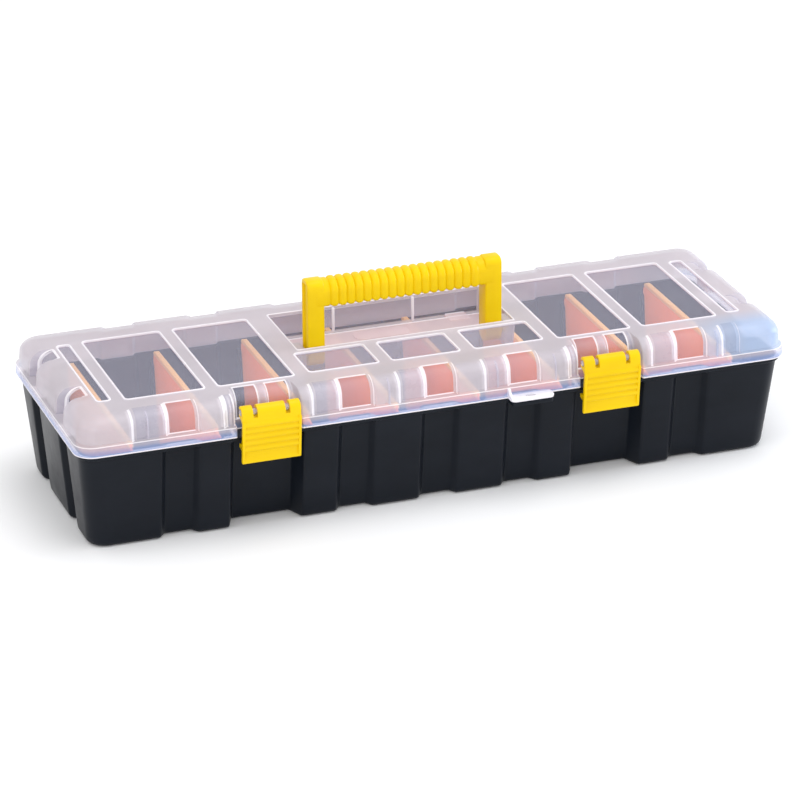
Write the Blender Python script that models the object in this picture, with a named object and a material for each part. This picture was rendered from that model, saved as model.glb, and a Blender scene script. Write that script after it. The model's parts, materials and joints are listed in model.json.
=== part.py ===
"""Compartment parts organizer: black tub, frosted lid, folding handle, two snap latches, eight dividers.

Metres, +Z up, origin at the middle of the underside, +X along the length, front face towards -Y.
"""

import math

import bmesh
import bpy

MM = 0.001

# Case
LENGTH = 430.0
WIDTH = 144.0
CORNER_R = 11.0
RIM_TOP = 59.0
RIM_BOTTOM = 55.3
LID_BOTTOM = 59.35
FLANGE_TOP = 66.0
LID_TOP = 81.3

# Tub walls
TUB_HALF_X = 212.0
TUB_HALF_Y = 69.6
TUB_DRAFT_X = 5.0
TUB_DRAFT_Y = 7.2
TUB_WALL = 2.2
TUB_FLOOR = 2.6
FLUTE_DEPTH = 4.6
FLUTE_SLANT = 0.76
LATCH_BAY_DEPTH = 11.0
LATCH_BAY_SLANT = 0.42

# Lid walls
LID_HALF_X = 213.2
LID_HALF_Y = 70.4
LID_WALL = 1.8
LID_ROUND = 9.5
LID_FLUTE = 3.0
LID_BAY = 10.4

# Handle and its well
WELL_HALF_X = 66.5
WELL_FRONT = -11.2
WELL_REAR = 46.2
WELL_FLOOR = 65.6
PIVOT_Y = -4.0
PIVOT_Z = 74.0
HANDLE_HALF_X = 59.6
HANDLE_LEG = 10.2
HANDLE_TOP = 122.4
GRIP_BOTTOM = 105.0
PEG_R = 2.7

# Latches
LATCH_X = 103.3
LATCH_HALF = 18.2
LATCH_AXIS_Y = -71.6
LATCH_AXIS_Z = 74.3
LATCH_BAR_R = 1.7
ARM_X = 9.5

# Rear hinge
HINGE_X = 126.5
HINGE_Y = 75.6
HINGE_Z = 59.0
HINGE_BAR_R = 2.0

DIVIDER_X = (-182.0, -130.0, -76.0, -24.7, 24.7, 76.0, 130.0, 182.0)
DIVIDER_T = 2.0
DIVIDER_TOP = 61.8

# Flutes of the walls as (from, to, kind) along each side
TUB_FLUTES = ((-165.2, -144.2, "flute"), (-124.8, -82.6, "bay"), (-61.0, -40.0, "flute"),
              (-11.0, 11.0, "flute"), (40.0, 61.0, "flute"), (82.6, 124.8, "bay"),
              (144.2, 165.2, "flute"))
LID_FLUTES = ((-182.0, -143.5, "flute"), (-128.2, -79.6, "bay"), (-75.6, -40.0, "flute"),
              (-24.0, 10.0, "flute"), (28.0, 61.0, "flute"), (78.4, 127.0, "bay"),
              (131.0, 164.8, "flute"))
TUB_REAR = ((-163.0, -142.0, "flute"), (-110.5, -91.5, "flute"), (-59.0, -40.0, "flute"),
            (-11.0, 11.0, "flute"), (40.0, 59.0, "flute"), (91.5, 110.5, "flute"),
            (142.0, 163.0, "flute"))
LID_REAR = ((-162.5, -142.5, "flute"), (-110.5, -91.5, "flute"), (-59.0, 59.0, "flute"),
            (91.5, 110.5, "flute"), (142.5, 162.5, "flute"))
END_FLUTES = ((-34.0, -18.0, "flute"), (24.0, 40.0, "flute"))
TUB_WALLS = (TUB_FLUTES, TUB_REAR, END_FLUTES)
LID_WALLS = (LID_FLUTES, LID_REAR, END_FLUTES)

# Panes of the lid top as (x from, x to, y from, y to)
PANES = ((-179.6, -133.2, -46.4, 44.6), (-125.2, -80.2, -46.4, 44.6),
         (80.2, 125.2, -46.4, 44.6), (133.2, 179.6, -46.4, 44.6),
         (-70.6, -28.8, -44.8, -15.0), (-20.6, 20.6, -44.8, -15.6), (29.6, 71.4, -44.8, -15.0),
         (-195.2, -187.6, -44.0, 43.0), (187.6, 195.2, -44.0, 43.0))
PANE_DEPTH = 0.6


def start_clean():
    for obj in list(bpy.data.objects):
        bpy.data.objects.remove(obj, do_unlink=True)


def plastic(name, colour, roughness, transmission=0.0):
    made = bpy.data.materials.new(name)
    made.use_nodes = True
    shader = made.node_tree.nodes["Principled BSDF"]
    shader.inputs["Base Color"].default_value = (*colour, 1.0)
    shader.inputs["Roughness"].default_value = roughness
    shader.inputs["Transmission Weight"].default_value = transmission
    return made


def mesh_object(name, vertices, faces):
    """An object from millimetre vertices, triangulated and facing out."""
    mesh = bpy.data.meshes.new(name)
    mesh.from_pydata([(x * MM, y * MM, z * MM) for x, y, z in vertices], [], faces)
    work = bmesh.new()
    work.from_mesh(mesh)
    bmesh.ops.triangulate(work, faces=work.faces)
    bmesh.ops.recalc_face_normals(work, faces=work.faces)
    work.to_mesh(mesh)
    work.free()
    made = bpy.data.objects.new(name, mesh)
    bpy.context.scene.collection.objects.link(made)
    return made


def loft(name, loops):
    """A closed solid through loops of equal length, each a list of (x, y, z)."""
    count = len(loops[0])
    vertices = [point for loop in loops for point in loop]
    faces = [list(range(count))[::-1]]
    for level in range(len(loops) - 1):
        low = level * count
        high = low + count
        for i in range(count):
            j = (i + 1) % count
            faces.append([low + i, low + j, high + j, high + i])
    last = (len(loops) - 1) * count
    faces.append([last + i for i in range(count)])
    return mesh_object(name, vertices, faces)


def box(name, x0, x1, y0, y1, z0, z1):
    low = [(x0, y0, z0), (x1, y0, z0), (x1, y1, z0), (x0, y1, z0)]
    high = [(x, y, z1) for x, y, _ in low]
    return loft(name, [low, high])


def rod(name, x0, x1, y, z, radius, sides=20):
    """A cylinder along X."""
    loops = []
    for x in (x0, x1):
        ring = []
        for i in range(sides):
            turn = 2 * math.pi * i / sides
            ring.append((x, y + radius * math.cos(turn), z + radius * math.sin(turn)))
        loops.append(ring)
    return loft(name, loops)


def post(name, x, y, z0, z1, radius, sides=20):
    """A cylinder along Z."""
    loops = []
    for z in (z0, z1):
        ring = []
        for i in range(sides):
            turn = 2 * math.pi * i / sides
            ring.append((x + radius * math.cos(turn), y + radius * math.sin(turn), z))
        loops.append(ring)
    return loft(name, loops)


def slab(name, x0, x1, profile):
    """A (y, z) outline carried along X."""
    loops = [[(x, y, z) for y, z in profile] for x in (x0, x1)]
    return loft(name, loops)


def combine(target, others, operation):
    """Joins or cuts with the exact solver and keeps the result as the target's own mesh."""
    for other in others:
        step = target.modifiers.new("join", "BOOLEAN")
        step.operation = operation
        step.solver = "EXACT"
        step.object = other
    bpy.context.view_layer.update()
    graph = bpy.context.evaluated_depsgraph_get()
    result = bpy.data.meshes.new_from_object(target.evaluated_get(graph))
    target.modifiers.clear()
    target.data = result
    for other in others:
        bpy.data.objects.remove(other, do_unlink=True)
    return target


def join(target, others):
    return combine(target, others, "UNION")


def cut(target, others):
    return combine(target, others, "DIFFERENCE")


def finish(obj, name, material):
    """Names the sub-part and gives it its own material."""
    obj.name = name
    obj.data.name = name
    obj.data.materials.clear()
    obj.data.materials.append(material)
    return obj


def side_points(flutes, depths, slants, offset, wall, narrow):
    """Corner points of one wall along its length, as (along, inward) pairs.

    offset moves the whole line inward; wall also widens the flutes, as an inner face needs.
    """
    points = []
    for start, end, kind in flutes:
        depth = depths[kind]
        slant = max(depth * slants[kind], 0.8)
        angle = math.atan2(1.0, slants[kind])
        shift = wall * math.tan(angle / 2) - narrow
        inward = offset + wall
        points.append((start - shift, inward))
        points.append((start - shift + slant, inward + depth))
        points.append((end + shift - slant, inward + depth))
        points.append((end + shift, inward))
    return points


def corner_arc(cx, cy, radius, start):
    """Points of a quarter circle, counter-clockwise from the angle start in degrees."""
    points = []
    for i in range(6):
        turn = math.radians(start + 90.0 * i / 5)
        points.append((cx + radius * math.cos(turn), cy + radius * math.sin(turn)))
    return points


def outline(half_x, half_y, z, walls, depths, offset=0.0, wall=0.0, narrow=0.0, slants=None):
    """A fluted rounded rectangle at height z, counter-clockwise seen from above.

    walls holds the flutes of the front, the rear and the two ends.
    """
    front, rear, ends = walls
    slants = slants or {"flute": FLUTE_SLANT, "bay": LATCH_BAY_SLANT}
    radius = max(CORNER_R - offset * 0.6 - wall, 1.2)
    cx = half_x - offset - wall - radius
    cy = half_y - offset - wall - radius
    front_side = side_points(front, depths, slants, offset, wall, narrow)
    rear_side = side_points(rear, depths, slants, offset, wall, narrow)
    short_side = side_points(ends, depths, slants, offset, wall, narrow)
    flat = [(x, -half_y + inward) for x, inward in front_side]
    flat += corner_arc(cx, -cy, radius, -90)
    flat += [(half_x - inward, y) for y, inward in short_side]
    flat += corner_arc(cx, cy, radius, 0)
    flat += [(x, half_y - inward) for x, inward in reversed(rear_side)]
    flat += corner_arc(-cx, cy, radius, 90)
    flat += [(-half_x + inward, y) for y, inward in reversed(short_side)]
    flat += corner_arc(-cx, -cy, radius, 180)
    return [(x, y, z) for x, y in flat]


# ---------------------------------------------------------------- tub

def tub_loop(z, offset=0.0, wall=0.0):
    """The tub's wall line at height z, drafted in towards the floor."""
    low = 1.0 - z / RIM_BOTTOM
    depths = {"flute": FLUTE_DEPTH, "bay": LATCH_BAY_DEPTH}
    return outline(TUB_HALF_X - TUB_DRAFT_X * low, TUB_HALF_Y - TUB_DRAFT_Y * low, z,
                   TUB_WALLS, depths, offset, wall, narrow=-1.0 * low)


def rim_loop(z, half_x, half_y):
    """The tub's plain rim, point for point with the fluted wall."""
    none = {"flute": 0.0, "bay": 0.0}
    return outline(half_x, half_y, z, TUB_WALLS, none)


def guide_pair(x, side, reach):
    """The two ribs that hold one end of a divider."""
    made = []
    gap = DIVIDER_T / 2 + 0.4
    for way in (-1, 1):
        near = x + way * gap
        far = x + way * (gap + 1.6)
        low_x, high_x = min(near, far), max(near, far)
        loops = []
        for z in (TUB_FLOOR - 1.0, 54.0):
            draft = TUB_DRAFT_Y * (1.0 - z / RIM_BOTTOM)
            inner = side * (reach - draft)
            outer = side * (TUB_HALF_Y - 1.2 - draft)
            loops.append([(low_x, inner, z), (high_x, inner, z), (high_x, outer, z), (low_x, outer, z)])
        made.append(loft("guide", loops))
    return made


# Distance from the middle to the seat of a divider at the rim
DIVIDER_REACH = TUB_HALF_Y - TUB_WALL


def make_tub():
    outer = [tub_loop(0.0, 3.2), tub_loop(0.9, 1.4), tub_loop(3.0, 0.3), tub_loop(6.0),
             tub_loop(RIM_BOTTOM)]
    outer += [rim_loop(RIM_BOTTOM, 214.4, 71.3), rim_loop(RIM_TOP, 214.4, 71.3)]
    tub = loft("tub", outer)
    hollow = loft("hollow", [tub_loop(TUB_FLOOR, 2.2, TUB_WALL), tub_loop(TUB_FLOOR + 1.6, 0.5, TUB_WALL),
                             tub_loop(TUB_FLOOR + 4.0, 0.0, TUB_WALL), tub_loop(RIM_BOTTOM, 0.0, TUB_WALL),
                             tub_loop(RIM_TOP + 2.0, 0.0, TUB_WALL)])
    cut(tub, [hollow])
    guides = []
    for x in DIVIDER_X:
        for side in (-1, 1):
            guides += guide_pair(x, side, DIVIDER_REACH - 4.0)
    join(tub, guides)
    join(tub, [box("lug", 39.6, 65.4, -79.3, -70.4, 55.6, RIM_TOP)])
    cut(tub, [post("lug hole", 52.0, -76.4, 54.0, 61.0, 2.4)])
    join(tub, tub_hinge_pieces(-1) + tub_hinge_pieces(1))
    return finish(tub, "tub", plastic("tub black", (0.012, 0.013, 0.018), 0.42))


def tub_hinge_pieces(side):
    """Three arms and the moulded bar that the lid's hooks clip over."""
    made = []
    for x in (HINGE_X - 15.0, HINGE_X, HINGE_X + 15.0):
        profile = [(70.6, 52.0), (74.0, 55.4), (77.8, 57.2), (78.2, 60.4), (76.6, 61.8),
                   (74.0, 61.6), (72.6, 58.8), (70.6, 58.6)]
        made.append(slab("arm", side * x - 1.4, side * x + 1.4, profile))
    made.append(rod("bar", side * HINGE_X - 16.0, side * HINGE_X + 16.0, HINGE_Y, HINGE_Z, HINGE_BAR_R))
    return made


# ---------------------------------------------------------------- lid

def lid_loop(z, offset=0.0, wall=0.0):
    depths = {"flute": LID_FLUTE, "bay": LID_BAY}
    slants = {"flute": 0.5, "bay": 0.12}
    return outline(LID_HALF_X, LID_HALF_Y, z, LID_WALLS, depths, offset, wall, slants=slants)


def flange_loop(z):
    depths = {"flute": 0.0, "bay": LID_BAY + 1.6}
    slants = {"flute": 0.5, "bay": 0.12}
    return outline(LENGTH / 2, WIDTH / 2, z, LID_WALLS, depths, slants=slants)


def lid_shell():
    outer = [flange_loop(LID_BOTTOM), flange_loop(FLANGE_TOP), lid_loop(FLANGE_TOP + 0.4),
             lid_loop(73.0, 0.5)]
    inner = [lid_loop(LID_BOTTOM - 2.0, 0.0, LID_WALL), lid_loop(73.0, 0.5, LID_WALL)]
    for step in range(1, 6):
        turn = math.radians(90.0 * step / 5)
        inward = (LID_ROUND - 0.5) * (1 - math.cos(turn)) + 0.5
        rise = 73.0 + (LID_TOP - 73.0) * math.sin(turn)
        outer.append(lid_loop(rise, inward))
        inner.append(lid_loop(rise - LID_WALL * math.sin(turn), inward, LID_WALL))
    lid = loft("lid", outer)
    return cut(lid, [loft("hollow", inner)])


def well_pieces():
    """The tray the handle folds into, as the block that is added and the space that is cut."""
    block = box("well block", -WELL_HALF_X - LID_WALL, WELL_HALF_X + LID_WALL, WELL_FRONT - LID_WALL,
                WELL_REAR + LID_WALL, WELL_FLOOR - LID_WALL, LID_TOP - 0.5)
    space = box("well space", -WELL_HALF_X, WELL_HALF_X, WELL_FRONT, WELL_REAR, WELL_FLOOR, LID_TOP + 3.0)
    return block, space


def well_details():
    """Pivot bosses, the two ribs of the rear wall and the raised stop on the floor."""
    made = []
    for side in (-1, 1):
        made.append(box("boss", min(side * 60.6, side * 67.4), max(side * 60.6, side * 67.4),
                        -10.6, 2.6, WELL_FLOOR - 0.8, 80.6))
    for x in (-26.0, 23.8):
        made.append(box("rib", x - 0.9, x + 0.9, WELL_REAR - 1.3, WELL_REAR + 0.8, WELL_FLOOR - 0.8, 80.8))
    made.append(box("stop", 47.4, 57.2, 41.2, WELL_REAR + 0.8, WELL_FLOOR - 0.8, 66.9))
    return made


def latch_brackets(x):
    """The bar a latch hangs on and the two arms that carry it."""
    made = [rod("latch bar", x - LATCH_HALF, x + LATCH_HALF, LATCH_AXIS_Y, LATCH_AXIS_Z, LATCH_BAR_R)]
    for way in (-1, 1):
        centre = x + way * ARM_X
        profile = [(-58.2, 66.4), (-58.2, 72.6), (-66.0, 74.6), (-71.0, 76.2), (-73.6, 74.8),
                   (-73.4, 73.0), (-71.0, 71.8), (-66.0, 69.6)]
        made.append(slab("latch arm", centre - 1.3, centre + 1.3, profile))
    return made


def lid_hinge_pieces(side):
    """Two hooks that clip over the tub's hinge bar."""
    made = []
    for x in (HINGE_X - 7.5, HINGE_X + 7.5):
        ring = rod("hook", side * x - 4.6, side * x + 4.6, HINGE_Y, HINGE_Z, 4.1)
        web = box("web", side * x - 4.6, side * x + 4.6, 70.8, 75.8, 60.2, 65.4)
        join(ring, [web])
        bore = rod("bore", side * x - 6.0, side * x + 6.0, HINGE_Y, HINGE_Z, 2.5)
        mouth = box("mouth", side * x - 6.0, side * x + 6.0, 74.0, 77.2, 52.0, 58.6)
        cut(ring, [bore, mouth])
        made.append(ring)
    return made


def pane_cutter(x0, x1, y0, y1):
    """A rounded rectangle that sinks one pane into the lid top."""
    loops = []
    for z in (LID_TOP - PANE_DEPTH, LID_TOP + 2.0):
        points = []
        for cx, cy, start in ((x1 - 2.5, y0 + 2.5, -90), (x1 - 2.5, y1 - 2.5, 0),
                              (x0 + 2.5, y1 - 2.5, 90), (x0 + 2.5, y0 + 2.5, 180)):
            for i in range(4):
                turn = math.radians(start + 30.0 * i)
                points.append((cx + 2.5 * math.cos(turn), cy + 2.5 * math.sin(turn), z))
        loops.append(points)
    return loft("pane", loops)


def make_lid():
    lid = lid_shell()
    block, space = well_pieces()
    join(lid, [block])
    cut(lid, [space])
    join(lid, well_details())
    cut(lid, [rod("peg hole", side * 67.2 - 7.6, side * 67.2 + 7.6, PIVOT_Y, PIVOT_Z, PEG_R + 0.4)
              for side in (-1, 1)])
    cut(lid, [pane_cutter(*pane) for pane in PANES])
    join(lid, latch_brackets(-LATCH_X) + latch_brackets(LATCH_X))
    join(lid, [box("tab", 39.0, 66.0, -79.7, -70.6, LID_BOTTOM, 61.6)])
    cut(lid, [post("tab hole", 52.0, -76.4, 57.0, 64.0, 2.4)])
    join(lid, lid_hinge_pieces(-1) + lid_hinge_pieces(1))
    return finish(lid, "lid", plastic("lid frosted", (0.80, 0.78, 0.82), 0.35, 0.6))


# ---------------------------------------------------------------- handle

def grip_section(x, grow):
    """The grip's outline at x, swollen by grow for a rib."""
    front = -10.0 - grow
    back = 2.0 + grow
    low = GRIP_BOTTOM - grow
    top = 121.3 + grow
    points = [(front + 1.5, low), (back - 1.5, low), (back, low + 1.5), (back, top - 3.0),
              (back - 0.9, top - 0.9), (back - 3.0, top)]
    for i in range(5):
        turn = math.radians(90.0 + 90.0 * i / 4)
        points.append((front + 7.0 + 7.0 * math.cos(turn), top - 7.0 + 7.0 * math.sin(turn)))
    points.append((front, low + 1.5))
    return [(x, y, z) for y, z in points]


def make_grip():
    """The bar between the legs with its row of rounded ribs."""
    loops = [grip_section(-HANDLE_HALF_X + 4.0, 0.2), grip_section(-46.5, 0.2)]
    count = 18
    pitch = 91.0 / count
    for i in range(count):
        start = -45.5 + i * pitch
        loops.append(grip_section(start + 0.2, 0.0))
        loops.append(grip_section(start + 1.2, 0.9))
        loops.append(grip_section(start + 3.4, 0.9))
        loops.append(grip_section(start + 4.4, 0.0))
    loops += [grip_section(46.5, 0.2), grip_section(HANDLE_HALF_X - 4.0, 0.2)]
    return loft("handle", loops)


def make_leg(side):
    """One leg: a rounded top corner, a straight shank and a round hub at the pivot."""
    profile = []
    for i in range(13):
        turn = math.radians(180.0 + 180.0 * i / 12)
        profile.append((PIVOT_Y + 6.0 * math.cos(turn), PIVOT_Z + 6.6 * math.sin(turn)))
    profile += [(2.0, 119.6), (1.2, 121.6), (-0.8, HANDLE_TOP), (-6.6, HANDLE_TOP), (-9.0, 121.4),
                (-10.0, 119.0)]
    inner = HANDLE_HALF_X - HANDLE_LEG
    loops = []
    for x, shrink in ((inner, 0.3), (inner + 0.6, 0.0), (HANDLE_HALF_X - 0.8, 0.0), (HANDLE_HALF_X, 0.7)):
        loop = []
        for y, z in profile:
            y = PIVOT_Y + (y - PIVOT_Y) * (1 - shrink / 6.0)
            z = z - shrink if z > 100 else (z + shrink if z < PIVOT_Z - 1 else z)
            loop.append((side * x, y, z))
        loops.append(loop)
    leg = loft("leg", loops)
    peg = rod("peg", min(side * 57.0, side * 65.4), max(side * 57.0, side * 65.4), PIVOT_Y, PIVOT_Z, PEG_R)
    return join(leg, [peg])


def make_handle():
    handle = make_grip()
    join(handle, [make_leg(-1), make_leg(1)])
    return finish(handle, "handle", plastic("handle yellow", (0.90, 0.56, 0.01), 0.38))


# ---------------------------------------------------------------- latches

def latch_plate(x):
    """The curved plate with its row of horizontal corrugations."""
    outer = [(-75.2, 76.6), (-76.4, 74.4), (-76.6, 70.0)]
    z = 68.4
    for _ in range(5):
        outer += [(-75.9, z), (-76.7, z - 1.5), (-76.7, z - 2.6)]
        z -= 3.9
    outer += [(-76.2, 47.5), (-76.8, 44.4)]
    inner = [(-75.0, 44.0), (-74.2, 47.5), (-74.2, 51.6), (-70.0, 52.4), (-70.0, 54.85), (-74.2, 54.85),
             (-74.2, 70.0), (-73.6, 74.4)]
    return slab("plate", x - LATCH_HALF, x + LATCH_HALF, outer + inner)


def make_latch(name, x):
    latch = latch_plate(x)
    knuckle = rod("knuckle", x - LATCH_HALF, x + LATCH_HALF, LATCH_AXIS_Y, LATCH_AXIS_Z, 3.9, 24)
    join(latch, [knuckle])
    bore = rod("bore", x - LATCH_HALF - 1.0, x + LATCH_HALF + 1.0, LATCH_AXIS_Y, LATCH_AXIS_Z, 2.15, 24)
    mouth = box("mouth", x - LATCH_HALF - 1.0, x + LATCH_HALF + 1.0, -71.6, -66.0, 72.9, 75.7)
    cut(latch, [bore, mouth])
    notches = []
    for way in (-1, 1):
        centre = x + way * ARM_X
        notches.append(box("notch", centre - 1.9, centre + 1.9, -78.0, -64.0, 70.0, 80.0))
    cut(latch, notches)
    return finish(latch, name, plastic(name + " yellow", (0.92, 0.60, 0.01), 0.36))


# ---------------------------------------------------------------- dividers

def divider_profile(x):
    """The divider's (y, z) outline: tapered foot, full depth at the rim and shoulders that clear the lid."""
    reach = DIVIDER_REACH - 0.5
    foot = TUB_DRAFT_Y * 0.92
    beside_bay = 70.0 < abs(x) < 135.0
    nose = 56.4 if beside_bay else 63.2
    crown = 63.6
    return [(foot - reach, 7.0), (foot - reach + 3.0, 3.2), (reach - foot - 3.0, 3.2), (reach - foot, 7.0),
            (reach - 0.4, 54.0), (reach - 0.8, 57.2), (crown, 58.6), (crown - 0.4, DIVIDER_TOP - 1.4),
            (crown - 2.2, DIVIDER_TOP), (2.2 - nose, DIVIDER_TOP), (0.4 - nose, DIVIDER_TOP - 1.4),
            (-nose, 58.6), (0.8 - reach, 57.2), (0.4 - reach, 54.0)]


def make_divider(index, x):
    name = f"divider_{index}"
    made = slab(name, x - DIVIDER_T / 2, x + DIVIDER_T / 2, divider_profile(x))
    return finish(made, name, plastic(name + " orange", (0.86, 0.22, 0.07), 0.40))


def place_origin(obj, x, y, z):
    """Puts the origin on the joint axis and leaves the shape where it is."""
    for vertex in obj.data.vertices:
        vertex.co.x -= x * MM
        vertex.co.y -= y * MM
        vertex.co.z -= z * MM
    obj.location = (x * MM, y * MM, z * MM)


def main():
    start_clean()
    make_tub()
    place_origin(make_lid(), 0.0, HINGE_Y, HINGE_Z)
    place_origin(make_handle(), 0.0, PIVOT_Y, PIVOT_Z)
    place_origin(make_latch("latch_left", -LATCH_X), -LATCH_X, LATCH_AXIS_Y, LATCH_AXIS_Z)
    place_origin(make_latch("latch_right", LATCH_X), LATCH_X, LATCH_AXIS_Y, LATCH_AXIS_Z)
    for index, x in enumerate(DIVIDER_X, start=1):
        make_divider(index, x)


main()
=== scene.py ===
"""Looks of the parts organizer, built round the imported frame. Lengths in the tables are millimetres."""

import json
import math

import bmesh
import bpy
from mathutils import Matrix, Vector

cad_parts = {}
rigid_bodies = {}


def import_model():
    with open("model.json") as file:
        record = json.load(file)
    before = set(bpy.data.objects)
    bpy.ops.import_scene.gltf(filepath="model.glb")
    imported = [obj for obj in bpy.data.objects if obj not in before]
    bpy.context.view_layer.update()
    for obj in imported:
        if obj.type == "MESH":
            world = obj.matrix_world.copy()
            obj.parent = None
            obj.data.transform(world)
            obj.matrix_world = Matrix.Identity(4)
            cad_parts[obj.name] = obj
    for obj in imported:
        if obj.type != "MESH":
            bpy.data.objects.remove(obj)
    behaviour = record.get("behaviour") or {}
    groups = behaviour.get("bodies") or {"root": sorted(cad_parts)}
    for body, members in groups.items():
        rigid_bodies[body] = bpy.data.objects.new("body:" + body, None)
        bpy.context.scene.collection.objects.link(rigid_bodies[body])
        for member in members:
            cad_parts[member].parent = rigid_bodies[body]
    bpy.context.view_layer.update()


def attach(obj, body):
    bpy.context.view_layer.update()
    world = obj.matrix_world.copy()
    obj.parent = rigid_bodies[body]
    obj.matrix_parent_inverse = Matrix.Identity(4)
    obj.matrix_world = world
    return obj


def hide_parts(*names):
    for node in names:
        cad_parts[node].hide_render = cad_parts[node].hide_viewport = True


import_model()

MM = 0.001
CORNER_RADIUS = 11.0
CORNER_STEPS = 8

# The tub: half its size at the rim, how much less that is at the foot, and where the rim starts.
TUB_HALF = (212.0, 69.6)
TUB_DRAFT = (5.0, 7.2)
TUB_WALL = 2.2
RIM_BOTTOM = 55.3
DIVIDER_X = (-182.0, -130.0, -76.0, -24.7, 24.7, 76.0, 130.0, 182.0)

# The lid: its wall leans in a little above DRAFT_FROM, and curves in from ROUND_FROM to LID_TOP.
LID_HALF = (213.2, 70.4)
FLANGE_HALF = (215.0, 72.0)
LID_WALL = 1.6
LID_BOTTOM = 59.35
FLANGE_TOP = 66.0
DRAFT_FROM = 67.6
DRAFT_HEIGHT = 5.4
LID_DRAFT = 0.4
ROUND_FROM = 73.0
ROUND_REACH = 9.1
ROUND_STEPS = 9
LID_TOP = 81.3

# (y, z) of the lid's hinge, the handle's pivot and the latches' pivot.
HINGE_AXIS = (75.6, 59.0)
HANDLE_AXIS = (-4.0, 74.0)
LATCH_AXIS = (-71.6, 74.3)

# The latches: places along X, half width, and how far the foot leans in over LEAN_HEIGHT.
LATCH_PLACES = {"latch_left": -103.3, "latch_right": 102.6}
LATCH_HALF = 17.3
LATCH_ARM_AT = 9.5
LATCH_LEAN = 2.6
LEAN_FROM = 70.0
LEAN_HEIGHT = 26.0


# ------------------------------------------------------------ materials

def new_material(name):
    made = bpy.data.materials.new(name)
    made.use_nodes = True
    tree = made.node_tree
    return made, tree, tree.nodes["Principled BSDF"]


def noise(tree, scale, detail=3.0, rough=0.5, stretch=(1, 1, 1)):
    place = tree.nodes.new("ShaderNodeTexCoord")
    mapping = tree.nodes.new("ShaderNodeMapping")
    mapping.inputs["Scale"].default_value = stretch
    made = tree.nodes.new("ShaderNodeTexNoise")
    made.inputs["Scale"].default_value = scale
    made.inputs["Detail"].default_value = detail
    made.inputs["Roughness"].default_value = rough
    tree.links.new(place.outputs["Object"], mapping.inputs["Vector"])
    tree.links.new(mapping.outputs["Vector"], made.inputs["Vector"])
    return made.outputs["Fac"]


def ramp(tree, value, stops):
    made = tree.nodes.new("ShaderNodeValToRGB")
    elements = made.color_ramp.elements
    while len(elements) < len(stops):
        elements.new(0.5)
    for element, (place, colour) in zip(elements, stops):
        element.position = place
        element.color = (*colour, 1.0)
    tree.links.new(value, made.inputs["Fac"])
    return made.outputs["Color"]


def spread(tree, value, low, high):
    """Maps the usual range of a noise to the range low to high."""
    made = tree.nodes.new("ShaderNodeMapRange")
    made.inputs["From Min"].default_value = 0.3
    made.inputs["From Max"].default_value = 0.7
    made.inputs["To Min"].default_value = low
    made.inputs["To Max"].default_value = high
    tree.links.new(value, made.inputs["Value"])
    return made.outputs["Result"]


def bump(tree, shader, heights):
    """Stacks bumps, each (height, strength, distance in mm)."""
    last = None
    for height, strength, distance in heights:
        made = tree.nodes.new("ShaderNodeBump")
        made.inputs["Strength"].default_value = strength
        made.inputs["Distance"].default_value = distance * MM
        tree.links.new(height, made.inputs["Height"])
        if last is not None:
            tree.links.new(last, made.inputs["Normal"])
        last = made.outputs["Normal"]
    tree.links.new(last, shader.inputs["Normal"])


def object_axes(tree):
    """The sockets of a point's own X, Y and Z."""
    place = tree.nodes.new("ShaderNodeTexCoord")
    parts = tree.nodes.new("ShaderNodeSeparateXYZ")
    tree.links.new(place.outputs["Object"], parts.inputs["Vector"])
    return parts.outputs


def share_between(tree, value, start, end):
    """0 to 1 as a coordinate goes from start to end, both in millimetres."""
    made = tree.nodes.new("ShaderNodeMapRange")
    made.inputs["From Min"].default_value = start * MM
    made.inputs["From Max"].default_value = end * MM
    tree.links.new(value, made.inputs["Value"])
    return made.outputs["Result"]


# Sockets of a Mix node that is set to colours.
MIX_FACTOR, MIX_A, MIX_B, MIX_RESULT = 0, 6, 7, 2
# Where the painted reflection, a bluish tint, starts and where it is full, along X and towards the front.
REFLECTION_X = (150.0, 190.0)
REFLECTION_Y = (-44.0, -60.0)


def painted_reflection(tree, tone, reflection_tint):
    """The tone, turning to a bluish tint at the lid's right front corner: a painted reflection."""
    axes = object_axes(tree)
    both = tree.nodes.new("ShaderNodeMath")
    both.operation = "MULTIPLY"
    tree.links.new(share_between(tree, axes["X"], *REFLECTION_X), both.inputs[0])
    tree.links.new(share_between(tree, axes["Y"], *REFLECTION_Y), both.inputs[1])
    mix = tree.nodes.new("ShaderNodeMix")
    mix.data_type = "RGBA"
    tree.links.new(both.outputs[0], mix.inputs[MIX_FACTOR])
    tree.links.new(tone, mix.inputs[MIX_A])
    mix.inputs[MIX_B].default_value = (*reflection_tint, 1.0)
    return mix.outputs[MIX_RESULT]


def moulded(name, dark, light, rough, grain, grain_mm, alpha=1.0, specular=0.5, reflection_tint=None,
            painted_glow=0.0):
    """Moulded plastic: slow colour drift, fine spark grain, uneven gloss.

    cool is a painted reflection: a bluish tint at the right front corner. glow is painted light: a weak
    emission of the plastic's own colour."""
    made, tree, shader = new_material(name)
    drift = noise(tree, 16.0, 4.0, 0.6, (1, 1, 2.2))
    tone = ramp(tree, drift, ((0.3, dark), (0.7, light)))
    if reflection_tint:
        tone = painted_reflection(tree, tone, reflection_tint)
    tree.links.new(tone, shader.inputs["Base Color"])
    gloss = noise(tree, 55.0, 5.0, 0.65)
    uneven = spread(tree, gloss, rough - 0.05, rough + 0.06)
    tree.links.new(uneven, shader.inputs["Roughness"])
    waves = noise(tree, 24.0, 2.0, 0.4)
    sparks = noise(tree, grain, 2.0, 0.5)
    bump(tree, shader, ((waves, 0.25, 0.12), (sparks, 0.35, grain_mm)))
    shader.inputs["Specular IOR Level"].default_value = specular
    shader.inputs["Alpha"].default_value = alpha
    if painted_glow:
        shader.inputs["Emission Color"].default_value = (*light, 1.0)
        shader.inputs["Emission Strength"].default_value = painted_glow
    return made


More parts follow.
